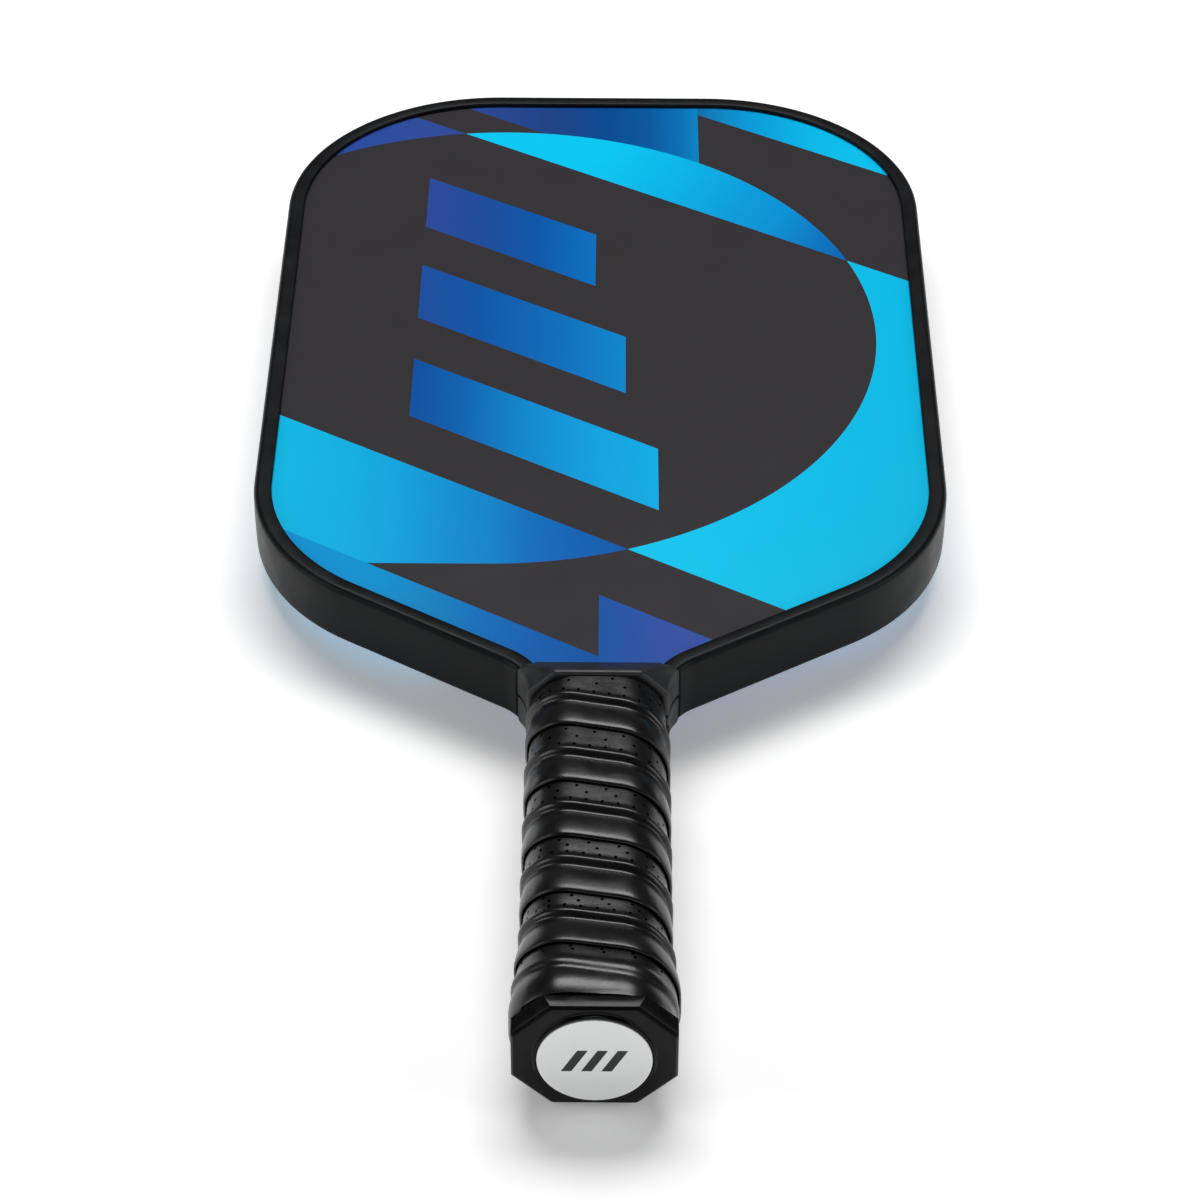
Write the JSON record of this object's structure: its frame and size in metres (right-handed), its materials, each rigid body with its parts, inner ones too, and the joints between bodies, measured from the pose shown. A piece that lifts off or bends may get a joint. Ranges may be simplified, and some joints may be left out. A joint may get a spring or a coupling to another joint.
{
  "type": "pickleball paddle",
  "caption": "Pickleball paddle: honeycomb core with printed faces in a channel edge guard, ribbed grip tape wound on an eight-sided handle, throat covers and a butt cap with a round label.",
  "frame": {"origin": "under the middle of the paddle as it lies on its back, on the level of the lowest point, which is the grip tape over the butt end's flare", "axes": "+Y from the butt cap to the top of the head, +Z out of the front face, +X across the face"},
  "size_m": [0.1932, 0.412, 0.0337],
  "materials": {
    "core_polymer": "satin",
    "skin_laminate": "satin",
    "print_film": "satin",
    "black_moulding": "satin",
    "adhesive": "matte",
    "shell_foam": "matte",
    "cap_moulding": "gloss",
    "tack_steel": "brushed",
    "label_foil": "satin",
    "grip_polyurethane": "satin",
    "rib_foam": "matte"
  },
  "bodies": {
    "root": {"honeycomb_core": "core_polymer", "front_skin": "skin_laminate", "back_skin": "skin_laminate", "front_graphic_film": "print_film", "back_graphic_film": "print_film", "edge_guard": "black_moulding", "guard_bonding_tape": "adhesive", "handle_shell_front": "shell_foam", "handle_shell_back": "shell_foam", "shell_bonding_tape_front": "adhesive", "shell_bonding_tape_back": "adhesive", "throat_cover_front": "black_moulding", "throat_cover_back": "black_moulding", "butt_cap": "cap_moulding", "butt_cap_tack_right": "tack_steel", "butt_cap_tack_left": "tack_steel", "butt_label": "label_foil", "grip_tape": "grip_polyurethane", "grip_rib_cord": "rib_foam"}
  },
  "joints": []
}
